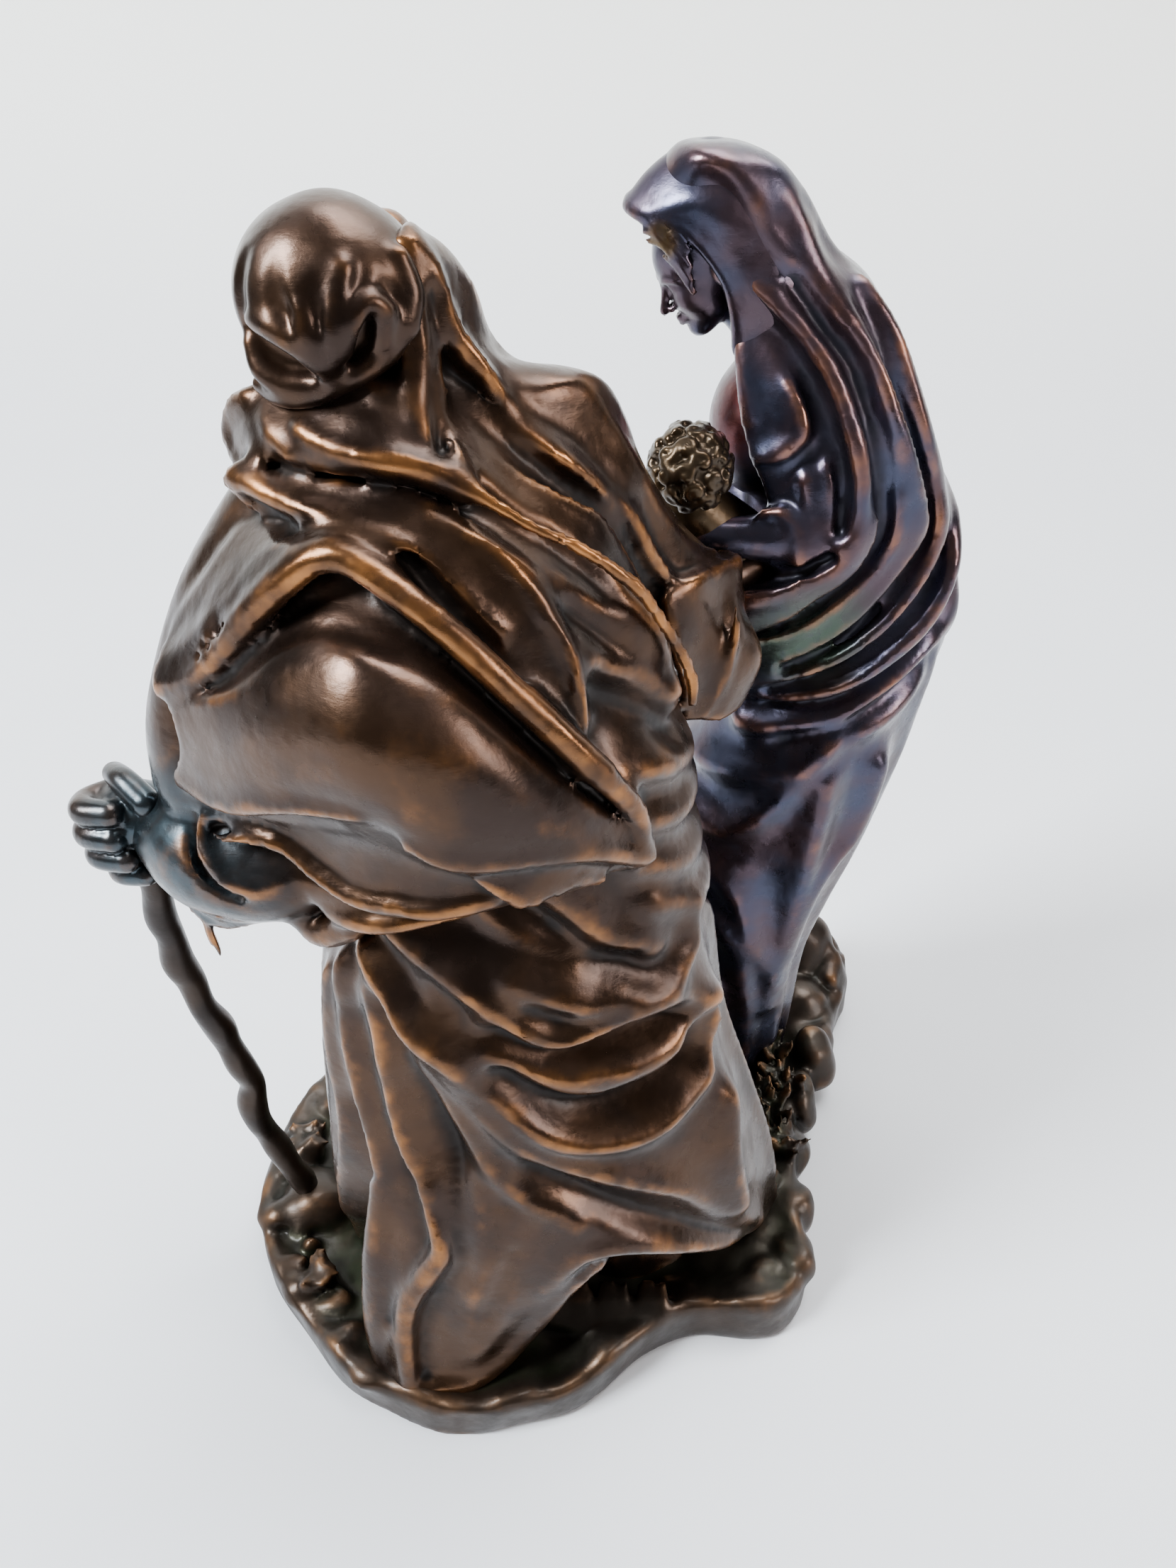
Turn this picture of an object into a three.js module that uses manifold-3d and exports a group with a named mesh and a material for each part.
// Holy family group: a striding man with a cloth round his head, a veiled woman and the child
// she carries, cast in one with the rocky ground under them, and the loose staff in the man's fist.
// Millimetres, +Z up. The figures turn their backs to -Y.
import * as THREE from 'three';
import { ParametricGeometry } from 'three/addons/geometries/ParametricGeometry.js';
import { mergeVertices } from 'three/addons/utils/BufferGeometryUtils.js';
import Module from 'manifold-3d';

const wasm = await Module();
wasm.setup();

// Middle of the ground in the drawing's coordinates: the origin stands under it
const MIDDLE = [-5.4, 31.6];
const STAFF_GAP = 0.3;

const COLOURS = {
  bronze: { color: 0x5b4331, roughness: 0.38, metalness: 0.75 },
  staff: { color: 0x33251c, roughness: 0.5, metalness: 0.6 },
};

// Mesh of each kind of form: cells across and down, or sides round a roll
const MESH = {
  robe: [36, 25],
  gown: [26, 20],
  cloak: [10, 7],
  drape: [3, 7],
  band: [6, 3],
  patch: [3, 3],
  head: [12, 9],
  mass: [8, 6],
  nose: [6, 5],
  limb: 6,
  edge: 5,
  finger: 4,
  ground: 38,
};

// Ground: outline at table height, then rings as [height, share of the outline]
const GROUND_MIDDLE = [-2, 27];
const GROUND_OUTLINE = [
  [-78, 18], [-76, 0], [-66, -17], [-53, -30], [-41, -37], [-31, -40], [-21, -40.5], [-8, -38],
  [3, -32], [13, -25], [23, -20.5], [36, -21], [45, -17.5], [50, -8], [50, 10], [53, 33],
  [62, 49], [70, 67], [76, 86], [70, 99], [48, 104], [16, 97], [-12, 87], [-38, 73], [-60, 55],
  [-74, 37],
];
const GROUND_RINGS = [
  [0, 0.97], [2.5, 1], [7, 1], [11, 0.975], [13, 0.945], [12, 0.91], [9, 0.86], [8.5, 0.5],
];

// Clothed bodies: ovals as [height, middle x, middle y, half width, half depth]
const ROBE = [
  [7, -5, 6, 48, 20], [18, -6, 5, 47, 22], [30, -7, 4, 46, 29], [52, -9, 3, 42, 29],
  [78, -12, 3, 37, 27], [103, -12, 2, 33, 24], [124, -11, 3, 27, 20], [145, -14, 3, 27, 19],
  [168, -19, 3, 28, 18], [186, -22, 4, 25, 14], [196, -24, 5, 19, 11], [206, -29, 4, 9, 8],
];
const GOWN = [
  [7, 33, 58, 16, 16], [30, 34, 58, 16, 16], [50, 33, 58, 18, 18], [66, 35, 58, 20, 19],
  [81, 39, 59, 21, 20], [94, 42, 59, 21, 21], [108, 45, 59, 21, 21], [122, 47, 59, 21, 21],
  [140, 49, 60, 22, 20], [153, 49, 60, 20, 19], [165, 48, 59, 17, 17], [175, 46, 58, 14, 16],
  [184, 43, 56, 13, 15], [193, 39, 53, 12, 13], [200, 35, 51, 10.5, 11], [207, 29, 49, 11, 10.5],
  [213, 24, 48, 11.5, 10.5], [219, 21, 47, 10.5, 9.5], [224, 19, 46, 7, 7], [226.6, 18, 46, 2, 2],
];

// Folds: [rise, half width, [angle, height], ...], with angle 0 towards -Y and 90 towards +X
const ROBE_FOLDS = [
  [4.2, 4, [91, 106], [82, 100], [59, 99], [26, 103], [5, 107], [-10, 111]],
  [3.6, 3.6, [78, 89], [38, 98], [14, 97], [0, 100], [-11, 106], [-37, 114]],
  [4, 4, [75, 82], [45, 86], [19, 90], [1, 94], [-11, 103]],
  [4.6, 4.4, [74, 72], [50, 71], [29, 70], [11, 70], [-3, 79], [-21, 92], [-32, 96]],
  [3, 4, [-40, 108], [-22, 98], [-3, 87], [14, 75]],
  [4, 4.4, [-57, 116], [-58, 101], [-58, 83], [-50, 66], [-39, 56]],
  [5.4, 5, [-66, 84], [-63, 71], [-55, 53], [-49, 32], [-46, 9]],
  [5.4, 5, [-52, 80], [-46, 66], [-36, 57], [-26, 50], [-25, 40]],
  [4, 4.4, [-23, 82], [-16, 69], [-6, 56], [7, 53], [24, 45]],
  [4.4, 4.4, [-17, 79], [-4, 64], [11, 55], [33, 41], [56, 23]],
  [3.4, 4, [9, 68], [22, 60], [42, 52]],
  [6, 4, [-20, 24], [-8, 30], [14, 30], [36, 26], [60, 18]],
  [6, 7, [66, 70], [58, 59], [55, 44]],
  [4.4, 7, [8, 124], [21, 119], [40, 114], [67, 117]],
  [4, 5, [-84, 104], [-82, 70], [-78, 40], [-76, 9]],
  [4.5, 5, [-108, 120], [-106, 80], [-110, 40], [-112, 9]],
  [5, 6, [-136, 130], [-140, 84], [-146, 40], [-148, 9]],
  [4.5, 5.5, [-168, 128], [-172, 80], [-168, 44], [-170, 9]],
  [5, 6, [160, 130], [158, 90], [150, 50], [152, 9]],
  [4.5, 5.5, [132, 126], [128, 84], [126, 46], [122, 9]],
  [4, 5.5, [104, 104], [102, 70], [98, 40], [96, 9]],
  [4.6, 4.2, [38, 150], [68, 146], [93, 144], [118, 147]],
  [4.6, 4.2, [36, 141], [66, 137], [93, 138], [118, 141]],
  [4.6, 4.2, [40, 132], [68, 127], [93, 127], [118, 131]],
  [5, 4.4, [44, 124], [70, 119], [95, 120], [118, 123]],
];
const MANTLE_FOLDS = [
  [4, 3.8, [10, 203], [15, 196], [17, 193], [27, 189], [44, 184], [64, 178], [81, 171], [92, 158]],
  [4.4, 4, [71, 199], [66, 193], [80, 187], [93, 178], [98, 164]],
  [3.4, 3.6, [-19, 197], [-8, 196], [4, 194], [15, 195]],
  [3.8, 3.8, [-88, 197], [-53, 195], [-36, 192], [-10, 190], [4, 189], [18, 185]],
  [4.6, 4, [-88, 188], [-60, 191], [-40, 189], [-18, 188], [-5, 186], [1, 184], [12, 178],
    [21, 173], [28, 164], [33, 156]],
  [3, 3.4, [29, 181], [40, 176], [55, 171], [75, 163], [92, 154]],
  [5, 4, [4, 188], [16, 187], [26, 182], [30, 175], [33, 167], [34, 159]],
  [3.6, 4, [-130, 196], [-150, 176], [-165, 150], [-172, 132]],
  [3.6, 4, [130, 196], [150, 178], [165, 156], [172, 134]],
];
const GOWN_FOLDS = [
  [2.8, 3.5, [-12, 224], [15, 221], [21, 213], [24, 207], [33, 202], [37, 194], [44, 184]],
  [3.4, 3.8, [-19, 207], [-14, 203], [1, 199], [3, 192], [5, 181], [3, 170], [-4, 160]],
  [3.4, 3.8, [20, 192], [28, 188], [33, 181], [38, 174], [37, 164], [24, 156], [8, 150], [-6, 145]],
  [3.6, 3.8, [70, 176], [66, 155], [47, 147], [21, 139], [0, 134], [-22, 131], [-47, 129]],
  [2.8, 3.2, [5, 151], [-5, 142], [-19, 138], [-39, 134]],
  [3.4, 3.5, [66, 140], [46, 138], [24, 132], [3, 127], [-20, 124], [-45, 123]],
  [3.4, 4.1, [-101, 108], [-41, 111], [-5, 116], [6, 125]],
  [3.4, 4.1, [-70, 99], [-46, 96], [-29, 98], [-13, 107], [1, 121]],
  [4.2, 4.3, [41, 112], [45, 95], [34, 87], [31, 75], [44, 48], [46, 24]],
  [3.4, 4.1, [-60, 92], [-42, 86], [-17, 80], [10, 64], [38, 48]],
  [3.4, 4.1, [-17, 71], [4, 60], [16, 40], [20, 14]],
  [4.2, 4.6, [7, 112], [14, 96], [22, 77], [30, 60]],
  [4.2, 4.9, [-40, 76], [-36, 50], [-34, 14]],
  [4.2, 4.9, [-75, 90], [-72, 50], [-70, 14]],
  [4.2, 5.4, [75, 150], [80, 110], [78, 60], [76, 14]],
  [4.2, 5.4, [105, 170], [110, 120], [108, 60], [106, 14]],
  [4.2, 5.4, [135, 176], [142, 120], [140, 60], [138, 14]],
  [4.2, 5.4, [170, 170], [176, 120], [172, 60], [172, 14]],
  [4.2, 5.4, [-110, 130], [-112, 90], [-108, 50], [-106, 14]],
  [4.2, 5.4, [-145, 150], [-150, 100], [-144, 50], [-142, 14]],
  [5, 4.4, [-45, 128], [-15, 123], [20, 120], [50, 120], [80, 122], [110, 126]],
  [4.6, 4.2, [10, 174], [34, 166], [52, 156], [72, 146], [96, 138]],
];

// Thickness of each cloth that is laid over a body
const THICKNESS = {
  cloak: 18, flap: 8, lobe: 4, band: 6, drape: 7, sleeve: 6, tail: 6, hood: 3, veil: 6,
};

// Billowing cloak behind the man's left side: rows from its rolled rim down to its hem
const CLOAK = [
  [[-62, -8, 163], [-51, -14, 169], [-44, -17, 178], [-32, -18, 187], [-18, -22, 177],
    [-2, -21, 158], [7, -17, 142]],
  [[-60, -12, 160], [-48, -20, 167], [-39, -24, 174], [-28, -28, 178], [-15, -29, 170],
    [-2, -25, 155], [8, -18, 141]],
  [[-59, -14, 155], [-48, -23, 160], [-38, -29, 165], [-28, -33, 167], [-15, -33, 162],
    [-2, -28, 150], [8, -19, 139]],
  [[-61, -13, 148], [-50, -22, 150], [-38, -28, 155], [-28, -32, 156], [-17, -33, 149],
    [-3, -28, 146], [9, -18, 137]],
  [[-60, -11, 142], [-50, -17, 143], [-40, -22, 144], [-29, -27, 143], [-16, -29, 142],
    [-2, -25, 141], [8, -17, 136]],
  [[-58, -9, 139], [-50, -15, 140], [-41, -20, 136], [-30, -26, 134], [-17, -28, 136],
    [-3, -24, 138], [8, -16, 135]],
];

// Rolled edges, limbs and soft rolls: rows of [x, y, z, radius]
const CLOAK_ROLLS = [
  [[-62, -9, 162, 1.4], [-55, -13, 166, 2], [-47, -16, 174, 2.2], [-40, -18, 182, 2.2],
    [-32, -19, 187, 2.4], [-25, -21, 184, 2.8], [-17, -23, 178, 3], [-8, -23, 168, 3],
    [1, -22, 157, 2.8], [7, -19, 147, 2.2], [8, -18, 140, 1.4]],
];
// Part of the cloak that folds inwards behind its rolled rim
const CLOAK_FLAP = [
  [[-61, -7, 167], [-59, -5, 170.5], [-54, -6, 177], [-50, -6, 182], [-46, -6, 185.5],
    [-40, -8, 187.5], [-34, -10, 189]],
  [[-61, -8, 166], [-57, -9, 169.6], [-51, -11, 176], [-46, -13, 181], [-42, -14, 184.6],
    [-38, -15.5, 187], [-33, -17, 188.6]],
  [[-62, -9, 163], [-55, -12.6, 166.4], [-47, -15.6, 174], [-43, -17, 178.6], [-40, -18, 182],
    [-36, -18.6, 185.4], [-32, -19, 187.6]],
];
// Lobe of cloth on his left shoulder
const SHOULDER_LOBE = [
  [[-38, -5, 201.4], [-40, -7, 199], [-41.6, -7, 197], [-42, -7, 195.6], [-41.6, -7.4, 194.4],
    [-40.6, -8.4, 193.4], [-39, -9.6, 193], [-37, -10.6, 192.8]],
  [[-40, -3, 202], [-42.6, -4, 200], [-44.4, -3.4, 198], [-45.6, -2.4, 196], [-45.8, -2.4, 194.4],
    [-44.6, -3.6, 192.8], [-42.4, -6, 192.2], [-40, -8, 192.4]],
  [[-41, 0, 203], [-44, -1, 201.6], [-46.6, 1, 200], [-48.6, 3, 197.6], [-49.2, 3.2, 195],
    [-48.4, 1.6, 192.8], [-46, -2.4, 191.4], [-43, -5, 191.6]],
];
// Long band of cloth that crosses his back below the lobe and widens into a leaf
const BACK_BAND = [
  [[-45, -3, 193], [-41, -7, 194], [-36, -10, 193.5], [-30, -12, 193], [-24, -13, 192.4],
    [-18, -13.8, 190.4], [-12, -14.8, 187], [-8, -15.4, 183], [-5, -16.2, 178], [-2.4, -17, 172],
    [-1.2, -17.6, 166], [-0.6, -18, 160]],
  [[-46.6, -6, 192.4], [-42, -10, 192], [-38, -12, 191], [-33, -14.4, 190], [-28, -16.2, 189],
    [-23, -17.4, 187.4], [-19, -18.4, 184], [-15.6, -19, 180.4], [-11.4, -19.4, 176.6], [-7.6, -19.4, 171],
    [-4, -19.6, 166], [0, -20, 159]],
  [[-46, -6, 191.6], [-42, -9.4, 190.6], [-38.6, -12.2, 189], [-34.6, -14.2, 188], [-30, -16, 187],
    [-26, -17.2, 185.6], [-22.4, -18, 183], [-18, -19.4, 179.4], [-14, -20.6, 175], [-9.4, -21.4, 169.6],
    [-4, -21.8, 163.6], [2, -21.6, 157]],
];
// Drape over his right shoulder and the sleeve below it
const SHOULDER_DRAPE = [
  [[-21, -1, 220.5], [-20.6, 1, 221], [-21, 4, 220], [-22, 7, 218], [-24, 10, 215]],
  [[-18.6, -2, 217], [-17.6, 1.6, 217.6], [-17.4, 6, 217.2], [-19, 9, 215], [-21, 13, 212]],
  [[-17.4, -2, 212.8], [-16, 2.4, 212.6], [-14.6, 7.4, 212.6], [-16, 11, 210], [-18, 15, 207]],
  [[-16.2, -1, 209], [-15, 3, 208.6], [-13.6, 8, 208.5], [-14, 12, 206], [-15, 16, 203]],
  [[-13, 0, 204], [-11.6, 3.8, 204.2], [-11.6, 8.6, 204], [-9, 13, 201.6], [-10, 18, 198]],
  [[-11, 1, 200], [-8, 3.4, 201], [-5, 8, 202], [-3, 13.6, 201], [-4, 18, 197]],
  [[-8, 2, 196], [-4, 5, 199], [0, 9, 200], [2.5, 15, 198.5], [2, 20, 194]],
  [[-2, 4, 190], [1, 7, 192], [4, 11, 193], [6, 17, 192], [5, 22, 188]],
  [[4, 7, 184], [6, 9, 186], [8, 13, 186.5], [8.5, 19, 184], [7, 24, 181]],
  [[9, 9, 177], [9.6, 12, 177], [12, 15, 178.5], [14, 21, 175], [12, 26, 172]],
  [[13, 12, 169], [15, 14, 168.5], [18, 18, 169.5], [20.5, 24, 168], [18, 28, 166]],
];
const SLEEVE = [
  [[13, 9, 167], [18, 13, 168], [23, 20, 167], [26, 25, 166], [24, 32, 164]],
  [[15, 8, 159], [18, 11, 159], [22, 15, 159], [26.5, 22, 159], [25, 30, 158]],
  [[17, 10, 151], [20, 12, 151], [24, 14, 151], [30, 20, 151], [28, 28, 150]],
  [[17, 12, 143.5], [20, 13, 143], [24, 15, 142], [28, 20, 143], [26, 26, 144]],
];
const LEFT_ARM = [
  [[-40, 4, 186, 9], [-52, 3, 170, 9], [-60, 1, 152, 9], [-61, -1, 142, 9]],
  [[-42, -10, 130, 5], [-50, -7, 128, 10], [-60, -4, 128, 11.5], [-67, -1, 129, 9], [-72, 1, 129, 6]],
];
const FIST = [
  [[-70, 0, 131, 5], [-76, 1, 131, 6.4], [-81, 2, 130, 5.6]],
  [[-78, -4, 135, 2.6], [-83, -2, 134.5, 2.8], [-84, 3, 133, 2.4]],
  [[-78, -5, 130.6, 2.6], [-83.4, -2.4, 130, 2.8], [-84, 3, 129, 2.4]],
  [[-77, -5, 126.4, 2.6], [-82.6, -2.6, 125.6, 2.8], [-83, 3, 125, 2.4]],
  [[-75, -4, 122.6, 2.4], [-80, -2.4, 121.6, 2.5], [-81, 3, 121.6, 2.2]],
  [[-72, -3, 137, 2.6], [-76, 1, 139, 2.6], [-79, 4, 138, 2.2]],
];
const HEM_TRIM = [
  [[-49, -9, 121, 3], [-44, -13, 118, 3.4], [-38, -16, 122, 3.2]],
  [[-43, -15, 131, 1.6], [-36, -19, 127.5, 2], [-28, -21, 127.5, 2], [-18, -22, 130, 1.4]],
];
const TAIL_FILL = [
  [[-26, -14, 48, 5], [-28, -20, 30, 7], [-29, -24, 17, 8], [-29, -25, 9, 8]],
];
const HEM_TAIL = [
  [[-40, -22, 48], [-33, -26, 48], [-25, -29, 47], [-15, -30, 46], [-5, -30, 43]],
  [[-43, -24, 36], [-38, -28, 35], [-30, -28, 34], [-20, -31, 33], [-10, -29, 31]],
  [[-44, -27, 22], [-38, -32, 21], [-31, -31, 20], [-23, -33, 19], [-15, -27, 16]],
  [[-43, -30, 11], [-37, -35, 9], [-30, -36, 8.6], [-23, -34, 9], [-17, -28, 9.6]],
];
const HEAD_CLOTH = [
  [[-26, 8, 218, 4], [-22, 10, 208, 5], [-20, 11, 200, 6], [-20, 12, 190, 6]],
  [[-21, 4, 216, 3.4], [-19, 5, 209, 4], [-17, 6, 201, 5], [-10, 8, 195, 6]],
];
const RIGHT_ARM = [
  [[-12, 8, 196, 5], [-5, 11, 192, 6], [0, 15, 188, 6], [5, 19, 179, 6], [11, 23, 170, 5.6],
    [18, 26, 163, 5], [23, 28, 158, 4.4]],
  [[20, 22, 164, 3.6], [22, 20, 157, 4.4], [23, 19, 150, 4], [22, 17, 145, 3]],
  [[18, 30, 158, 4], [24, 34, 158, 3.6], [29, 37, 160, 3.2]],
];
const FEET = [
  [[30, -10, 18, 7], [39, -13, 16, 5.4], [47, -16.5, 15.5, 3.4]],
  [[-22, 34, 16, 8], [-26, 46, 13, 5.4], [-28, 54, 12, 3.6]],
];

const WOMAN_ARM = [
  [[44, 47, 190, 8], [48, 44, 180, 8.6], [49, 42, 170, 8.4], [47, 40, 163, 7], [42, 38, 161, 5.6]],
  [[40, 68, 186, 8], [38, 70, 172, 8], [32, 66, 160, 7], [24, 56, 156, 4.4], [20, 46, 158, 3.4]],
  [[44, 37, 166, 4.6], [36, 35.6, 166, 4.6], [28, 35.4, 166, 3.8], [19, 35, 167, 2.8]],
];
const HOOD = [
  [[25, 54, 197], [29, 57, 198], [34, 57.4, 199], [40, 56, 200]],
  [[20, 56, 207], [25, 58, 208], [31, 57.6, 210], [37, 55, 208]],
  [[11, 53, 215], [16, 55, 218.5], [23, 55, 220.6], [31, 53, 218]],
  [[5.9, 46.5, 217.6], [9, 46.5, 221.3], [13, 46.5, 224.2], [18, 47, 225.8], [23, 47.5, 225],
    [28, 48, 222]],
  [[8.4, 41, 216.4], [12, 39.6, 218.6], [17, 38.6, 220.4], [23, 38.8, 220.6], [29, 41, 218.6]],
  [[14.7, 38, 214.5], [18, 36.8, 216], [22, 36.6, 216.4], [28, 38.4, 215.4], [33, 41, 213]],
  [[20.9, 37, 208.7], [24, 36.6, 210], [28, 37.6, 210], [32, 39, 209], [36, 42, 207.6]],
  [[23.3, 37.4, 203.4], [26, 36.8, 204.6], [30, 37.4, 204.4], [34, 38.6, 203], [38, 41, 201.4]],
  [[24.9, 39, 196.7], [27.6, 38, 198.4], [31, 38, 198.6], [35, 39, 198]],
];
// Veil down her near side and its front over the shoulder
const VEIL_SIDE = [
  [[20.7, 38.4, 208.5], [24, 38.6, 211], [28, 39.4, 213], [33, 43, 214]],
  [[27, 37, 206.4], [31, 38.8, 207], [35, 40.4, 209], [38, 45, 210], [40, 50, 210]],
  [[33.8, 36, 200.6], [36, 37, 202], [39.4, 37, 203], [43, 40.4, 204.6], [46, 46, 205], [47, 52, 205]],
  [[40.2, 33.4, 192], [42.4, 35.4, 194], [46.6, 35.4, 194.5], [50, 39.4, 195], [53, 46, 195],
    [54, 54, 195]],
  [[43.3, 31.6, 185], [46, 34.4, 186.4], [50.3, 35, 186.9], [55, 38.4, 186], [58, 46, 186],
    [59, 56, 186]],
  [[45.2, 31, 176.7], [48.5, 34, 178.4], [53.7, 35.4, 179.3], [58, 38.6, 179], [62, 46, 178],
    [63, 57, 177]],
  [[45.1, 31, 170.9], [50, 33.4, 172], [56, 36.4, 173.2], [61, 40.4, 173], [65, 47, 171],
    [66.6, 58, 169]],
  [[44.5, 30.6, 165], [50, 33, 166], [57, 35.6, 167.6], [63, 40.4, 167], [67.5, 48, 165], [69, 58, 163]],
  [[45, 33, 158], [51, 34.6, 159], [57.6, 37.4, 160.6], [63.6, 41.4, 160], [68.4, 48.6, 158],
    [70, 58, 156]],
  [[46, 36, 151], [52, 36.6, 152], [58.4, 39.4, 153], [64, 43, 152], [69, 49.6, 150], [71, 58, 149]],
];
const VEIL_FRONT = [
  [[23.6, 39.4, 205], [27, 38.4, 205.6], [31, 38.4, 205.4], [35, 39.4, 204.6], [40, 43, 203]],
  [[25, 40, 199], [29, 38.4, 200], [33, 38, 200], [37, 38.6, 200], [42, 42, 200]],
  [[25.6, 39, 195], [29, 37.4, 196], [33, 36.8, 197], [37, 37, 197.4], [42, 38, 197]],
  [[26.4, 38, 190], [30, 36, 191], [34, 35, 192], [38, 35.4, 192.4], [43, 36.6, 192]],
  [[27, 37, 185], [31, 34.4, 185.6], [34.6, 33.4, 186.6], [38, 34.4, 187], [43, 35.4, 186]],
  [[28, 36, 180.6], [32, 33.8, 181.6], [36, 34, 182], [40, 34.6, 181.6], [44, 35, 180]],
  [[31, 36, 174.6], [34, 34.2, 175.6], [37, 33.6, 175.6], [40.6, 33.4, 175], [44, 34, 174]],
  [[33, 35, 168], [36, 33.4, 168], [39, 32.6, 168], [42, 32.6, 168], [45, 33.4, 168]],
  [[33, 34, 162], [36, 32.4, 161], [39, 32, 161], [42, 32, 161.6], [45, 32.6, 163]],
];
const WOMAN_CLOAK = [
  [[70, 60, 134, 5], [69, 61, 117, 3.6], [69, 62, 106, 3], [66, 62, 96, 2.4], [65, 62, 90, 1.4]],
];
const CHILD = [
  [[18, 38, 170, 6], [24, 42, 162, 8.4], [33, 46, 154, 8], [40, 48, 147, 5.4]],
];

// Rounded masses: [middle, half sizes]
const MAN_HEAD = [[-31.5, 1, 213.5], [10.8, 11.4, 11.6]];
const MAN_FACE = [[[-33, 9, 211], [8, 8, 10]], [[-33.4, 14, 203], [6.4, 6, 8]]];
const MAN_NOSE = [[-33.6, 17.4, 211], [1.6, 2.6, 3]];
const MAN_CHEST = [[-22, 14, 172], [24, 12, 24]];
const WOMAN_HEAD = [[19, 46.5, 208.5], [10, 8.6, 10.4]];
const WOMAN_NOSE = [[8.6, 46.2, 206.6], [2.6, 1.4, 2.2]];
const WOMAN_CHEST = [[32, 54, 180], [10, 12, 13]];
const CHILD_HEAD = [[17, 36, 177.5], [7.8, 7.8, 8.4]];
const BOULDERS = [
  [[57, 86, 12], [16, 13, 19]],
  [[60, 68, 8], [10, 11, 11]],
  [[-65, 8, 7], [10, 10, 9]],
];

// Staff: rows of [x, y, z, radius], from the ground to the fist
const STAFF = [
  [-66, 8, 10, 2.4], [-67, 8, 19, 2.4], [-71.4, 8, 34, 2.3], [-73, 7, 48, 2.7], [-72.8, 7, 58, 2.3],
  [-75, 6, 73, 2.6], [-77.6, 5.2, 87, 2.3], [-78.6, 4.4, 95, 2.6], [-78.2, 3, 110, 2.3],
  [-77.4, 1.4, 126, 2.1],
];

// Catmull-Rom through rows of numbers, with t from 0 to 1 along the list
function along(rows, t) {
  const last = rows.length - 1;
  const place = THREE.MathUtils.clamp(t, 0, 1) * last;
  const index = Math.min(Math.floor(place), last - 1);
  const f = place - index;
  const row = (k) => rows[THREE.MathUtils.clamp(k, 0, last)];
  return rows[0].map((_, c) => {
    const [a, b, d, e] = [row(index - 1)[c], row(index)[c], row(index + 1)[c], row(index + 2)[c]];
    return 0.5 * (2 * b + (d - a) * f + (2 * a - 5 * b + 4 * d - e) * f * f
      + (3 * b - a - 3 * d + e) * f * f * f);
  });
}

// Oval of a clothed body at one height
function ovalAt(ovals, height) {
  const last = ovals.length - 1;
  let index = 0;
  while (index < last - 1 && ovals[index + 1][0] < height) index += 1;
  const f = (height - ovals[index][0]) / (ovals[index + 1][0] - ovals[index][0]);
  return along(ovals, (index + f) / last);
}

// Closed solid from a triangle mesh, turned so that its faces point out
function solidOf(geometry) {
  geometry.deleteAttribute('normal');
  geometry.deleteAttribute('uv');
  const welded = mergeVertices(geometry, 1e-4);
  const points = welded.getAttribute('position').array;
  const index = welded.getIndex().array;
  const faces = [];
  let volume = 0;
  const corner = (k) => new THREE.Vector3().fromArray(points, 3 * k);
  for (let k = 0; k < index.length; k += 3) {
    const [a, b, c] = [index[k], index[k + 1], index[k + 2]];
    if (a === b || b === c || c === a) continue;
    faces.push([a, b, c]);
    volume += corner(a).dot(corner(b).cross(corner(c)));
  }
  const triVerts = new Uint32Array(faces.flatMap(([a, b, c]) => (volume > 0 ? [a, b, c] : [a, c, b])));
  const vertProperties = new Float32Array(points);
  return new wasm.Manifold(new wasm.Mesh({ numProp: 3, vertProperties, triVerts }));
}

// Folds of one body as polylines in degrees and millimetres
function foldLines(folds) {
  const stepsPerSpan = 5;
  return folds.map(([rise, width, ...path]) => {
    const count = (path.length - 1) * stepsPerSpan;
    const line = Array.from({ length: count + 1 }, (_, k) => along(path, k / count));
    return { rise, width, line };
  });
}

// How far the folds lift the cloth at an angle and height
function liftAt(lines, angle, height, millimetresPerDegree) {
  const sharpness = 3;
  let sum = 0;
  for (const { rise, width, line } of lines) {
    let nearest = Infinity;
    for (let k = 0; k < line.length - 1; k += 1) {
      const turn = THREE.MathUtils.euclideanModulo(angle - line[k][0] + 180, 360) - 180;
      const x = turn * millimetresPerDegree;
      const y = height - line[k][1];
      const dx = (line[k + 1][0] - line[k][0]) * millimetresPerDegree;
      const dy = line[k + 1][1] - line[k][1];
      const f = THREE.MathUtils.clamp((x * dx + y * dy) / (dx * dx + dy * dy), 0, 1);
      nearest = Math.min(nearest, (x - f * dx) ** 2 + (y - f * dy) ** 2);
    }
    sum += (rise / (1 + nearest / (width * width)) ** 2) ** sharpness;
  }
  return sum ** (1 / sharpness);
}

// Clothed body: stacked ovals, lifted by their folds
function clothed(ovals, folds, around, up) {
  const lines = foldLines(folds);
  const [low, high] = [ovals[0][0], ovals[ovals.length - 1][0]];
  const surface = (u, v, target) => {
    const level = Math.round(v * up);
    const height = low + (high - low) * THREE.MathUtils.clamp((level - 1) / (up - 2), 0, 1);
    const [, x, y, halfWidth, halfDepth] = ovalAt(ovals, height);
    const closed = level === 0 || level === up;
    const degrees = 360 * u - 180;
    const lift = closed ? 0 : liftAt(lines, degrees, height, THREE.MathUtils.degToRad(halfWidth));
    const angle = THREE.MathUtils.degToRad(degrees);
    const share = closed ? 0 : 1;
    target.set(
      x + share * (halfWidth + lift) * Math.sin(angle),
      y - share * (halfDepth + lift) * Math.cos(angle),
      height,
    );
  };
  return solidOf(new ParametricGeometry(surface, around, up));
}

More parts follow.
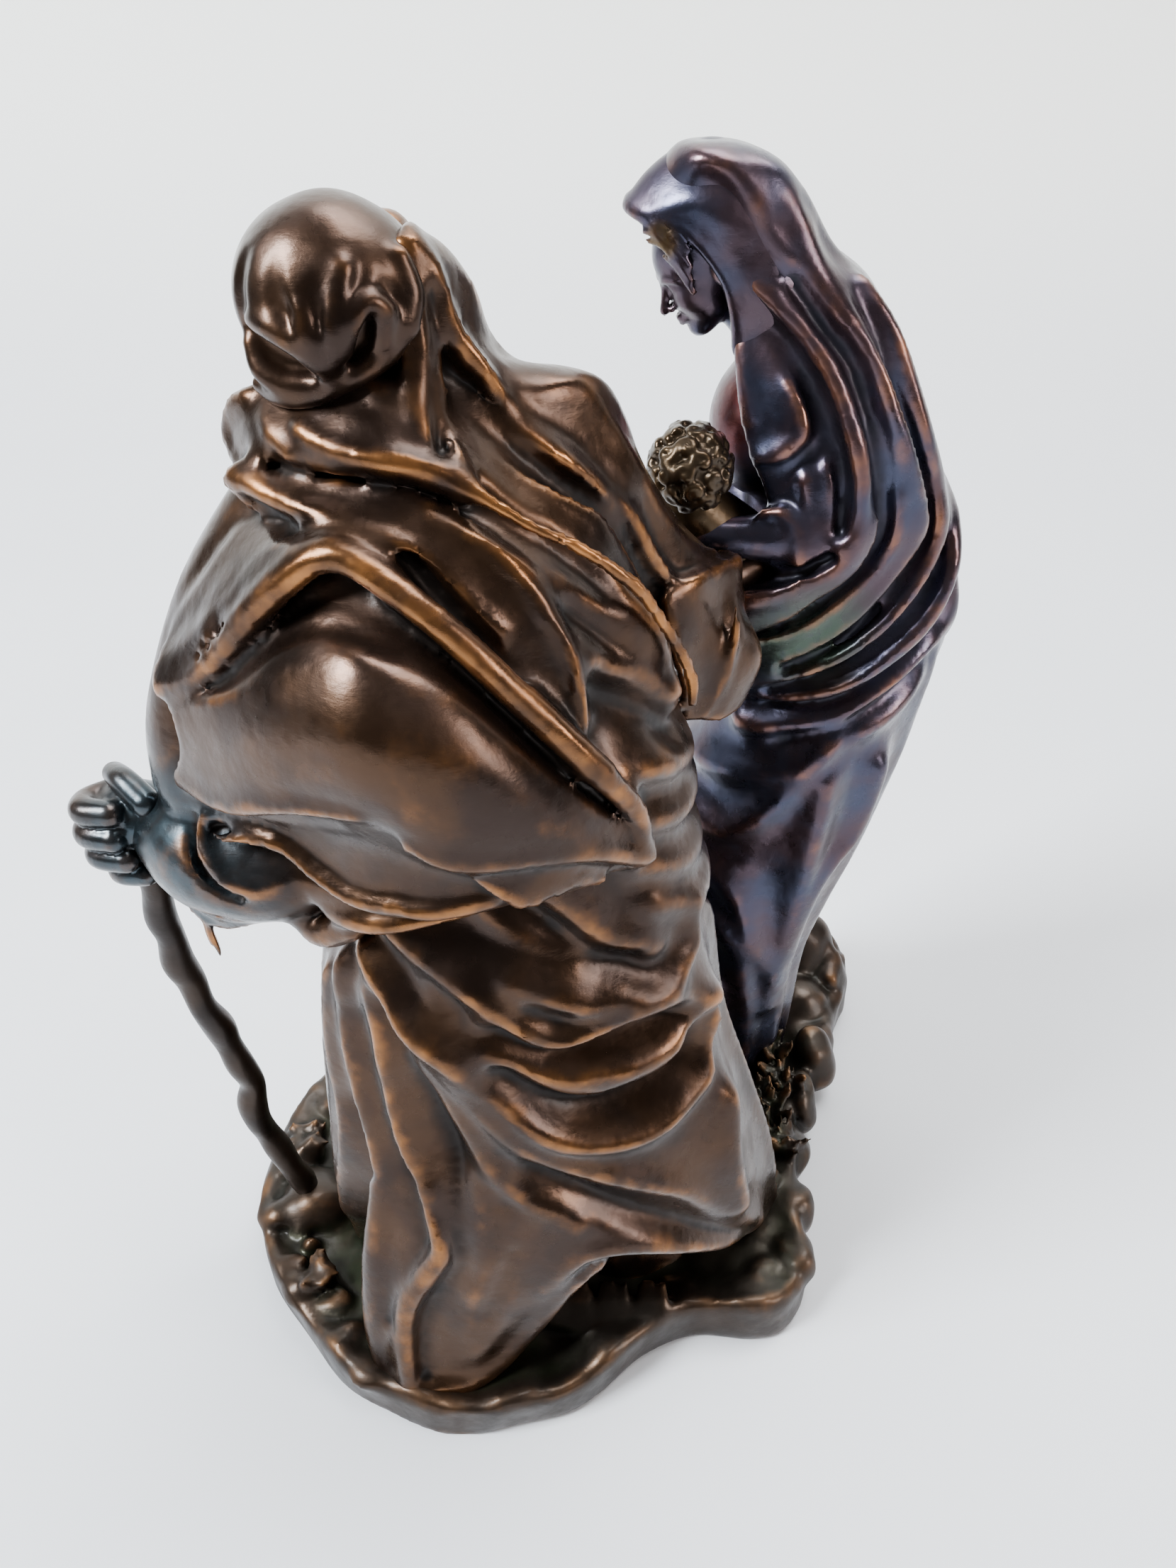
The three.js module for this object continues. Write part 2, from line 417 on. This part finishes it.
// Thick cloth with its outer face through a grid of points, thin at all its edges
function sheet(rows, thickness, across, down) {
  const middle = (s, t) => new THREE.Vector3(...along(rows.map((row) => along(row, s)), t));
  const surface = (u, v, target) => {
    const step = 0.02;
    const front = u <= 0.5;
    const s = front ? 2 * u : 2 - 2 * u;
    const alongRow = middle(s + step, v).sub(middle(s - step, v));
    const alongDrop = middle(s, v + step).sub(middle(s, v - step));
    const normal = alongRow.cross(alongDrop).normalize();
    const inside = Math.sin(Math.PI * s) * Math.sin(Math.PI * v);
    const depth = front || inside < 1e-6 ? 0 : thickness * inside ** 0.4;
    target.copy(middle(s, v)).addScaledVector(normal, depth);
  };
  return solidOf(new ParametricGeometry(surface, across * 2, down));
}

// Roll or limb along rows of [x, y, z, radius], closed at both ends
function roll(rows, sides, stepsPerSpan = 1, grow = 0) {
  const curve = new THREE.CatmullRomCurve3(rows.map(([x, y, z]) => new THREE.Vector3(x, y, z)));
  const steps = (rows.length - 1) * stepsPerSpan;
  const { normals, binormals } = curve.computeFrenetFrames(steps, false);
  const surface = (u, v, target) => {
    const level = Math.round(v * (steps + 2));
    const step = THREE.MathUtils.clamp(level - 1, 0, steps);
    const closed = level === 0 || level === steps + 2;
    const [, , , radius] = along(rows, curve.getUtoTmapping(step / steps));
    const reach = closed ? 0 : radius + grow;
    const angle = 2 * Math.PI * (u % 1);
    target.copy(curve.getPointAt(step / steps));
    if (level === 0) target.addScaledVector(curve.getTangentAt(0), -rows[0][3] * 0.5 - grow);
    if (level === steps + 2) {
      target.addScaledVector(curve.getTangentAt(1), rows[rows.length - 1][3] * 0.5 + grow);
    }
    target.addScaledVector(normals[step], reach * Math.cos(angle));
    target.addScaledVector(binormals[step], reach * Math.sin(angle));
  };
  return solidOf(new ParametricGeometry(surface, sides, steps + 2));
}

function mass([middle, halfSizes], [across, up]) {
  const geometry = new THREE.SphereGeometry(1, across, up);
  geometry.rotateX(Math.PI / 2);
  geometry.scale(...halfSizes);
  geometry.translate(...middle);
  return solidOf(geometry);
}

// Boulder: a rounded mass with broken faces
function boulder([middle, halfSizes]) {
  const geometry = new THREE.SphereGeometry(1, ...MESH.mass);
  geometry.rotateX(Math.PI / 2);
  const position = geometry.getAttribute('position');
  for (let k = 0; k < position.count; k += 1) {
    const point = new THREE.Vector3().fromBufferAttribute(position, k);
    const rough = 1 + 0.07 * Math.sin(5 * point.x + 3) * Math.cos(4 * point.y + 1)
      + 0.05 * Math.sin(7 * point.z + 4 * point.x);
    point.multiplyScalar(rough);
    position.setXYZ(k, point.x * halfSizes[0], point.y * halfSizes[1], point.z * halfSizes[2]);
  }
  geometry.translate(...middle);
  return solidOf(geometry);
}

// Rocky ground with a raised rim, flat below
function ground() {
  const outline = new THREE.CatmullRomCurve3(
    GROUND_OUTLINE.map(([x, y]) => new THREE.Vector3(x, y, 0)), true,
  );
  const around = MESH.ground;
  const levels = GROUND_RINGS.length + 1;
  const surface = (u, v, target) => {
    const level = Math.round(v * levels);
    const closed = level === 0 || level === levels;
    const [height, share] = GROUND_RINGS[THREE.MathUtils.clamp(level - 1, 0, levels - 2)];
    const edge = outline.getPoint(u % 1);
    const reach = closed ? 0 : share;
    const uneven = height > 3 ? 0.9 * Math.sin(9 * u * Math.PI) + 0.6 * Math.sin(22 * u * Math.PI) : 0;
    target.set(
      GROUND_MIDDLE[0] + reach * (edge.x - GROUND_MIDDLE[0]),
      GROUND_MIDDLE[1] + reach * (edge.y - GROUND_MIDDLE[1]),
      height + (closed ? 0 : uneven),
    );
  };
  return solidOf(new ParametricGeometry(surface, around, levels));
}

// Everything below the table's surface, which the flat underside is cut to
function tableTop() {
  const geometry = new THREE.BoxGeometry(300, 300, 40);
  geometry.translate(0, 0, -20);
  return solidOf(geometry);
}

const joined = (solids) => solids.reduce((whole, solid) => whole.add(solid));
const largest = (solid) => solid.decompose().reduce((a, b) => (a.volume() > b.volume() ? a : b));
const rolls = (list, sides) => list.map((rows) => roll(rows, sides));

function man() {
  return joined([
    clothed(ROBE, [...ROBE_FOLDS, ...MANTLE_FOLDS], ...MESH.robe),
    sheet(CLOAK, THICKNESS.cloak, ...MESH.cloak),
    sheet(CLOAK_FLAP, THICKNESS.flap, ...MESH.band),
    sheet(SHOULDER_LOBE, THICKNESS.lobe, ...MESH.band),
    sheet(BACK_BAND, THICKNESS.band, ...MESH.band),
    sheet(SHOULDER_DRAPE, THICKNESS.drape, ...MESH.drape),
    sheet(SLEEVE, THICKNESS.sleeve, ...MESH.patch),
    sheet(HEM_TAIL, THICKNESS.tail, ...MESH.patch),
    ...rolls([...CLOAK_ROLLS, ...HEM_TRIM], MESH.edge),
    ...rolls([...LEFT_ARM, ...HEAD_CLOTH, ...RIGHT_ARM, ...FEET, ...TAIL_FILL], MESH.limb),
    ...rolls(FIST, MESH.finger),
    mass(MAN_HEAD, MESH.head),
    ...MAN_FACE.map((part) => mass(part, MESH.mass)),
    mass(MAN_NOSE, MESH.nose),
    mass(MAN_CHEST, MESH.mass),
  ]);
}

function womanAndChild() {
  return joined([
    clothed(GOWN, GOWN_FOLDS, ...MESH.gown),
    sheet(HOOD, THICKNESS.hood, ...MESH.drape),
    sheet(VEIL_FRONT, THICKNESS.veil, ...MESH.drape),
    sheet(VEIL_SIDE, THICKNESS.veil, ...MESH.drape),
    ...rolls([...WOMAN_ARM, ...CHILD], MESH.limb),
    ...rolls(WOMAN_CLOAK, MESH.edge),
    mass(WOMAN_HEAD, MESH.mass),
    mass(WOMAN_NOSE, MESH.nose),
    mass(WOMAN_CHEST, MESH.mass),
    mass(CHILD_HEAD, MESH.mass),
  ]);
}

// The cast group, with a socket for the staff in the ground and in the fist
function figureGroup() {
  const cast = joined([ground(), man(), womanAndChild(), ...BOULDERS.map(boulder)]);
  return largest(cast.subtract(roll(STAFF, MESH.limb, 2, STAFF_GAP)).subtract(tableTop()));
}

// Mesh of a finished solid, moved so that the origin stands under the middle of the ground
function meshOf(name, solid, finish) {
  const { vertProperties, triVerts } = solid.getMesh();
  const geometry = new THREE.BufferGeometry();
  geometry.setAttribute('position', new THREE.BufferAttribute(new Float32Array(vertProperties), 3));
  geometry.setIndex(new THREE.BufferAttribute(new Uint32Array(triVerts), 1));
  geometry.translate(-MIDDLE[0], -MIDDLE[1], 0);
  geometry.computeVertexNormals();
  const mesh = new THREE.Mesh(geometry, new THREE.MeshStandardMaterial(finish));
  mesh.name = name;
  return mesh;
}

const group = new THREE.Group();
group.add(meshOf('figure_group', figureGroup(), COLOURS.bronze));
group.add(meshOf('staff', roll(STAFF, MESH.limb, 2), COLOURS.staff));

export default group;
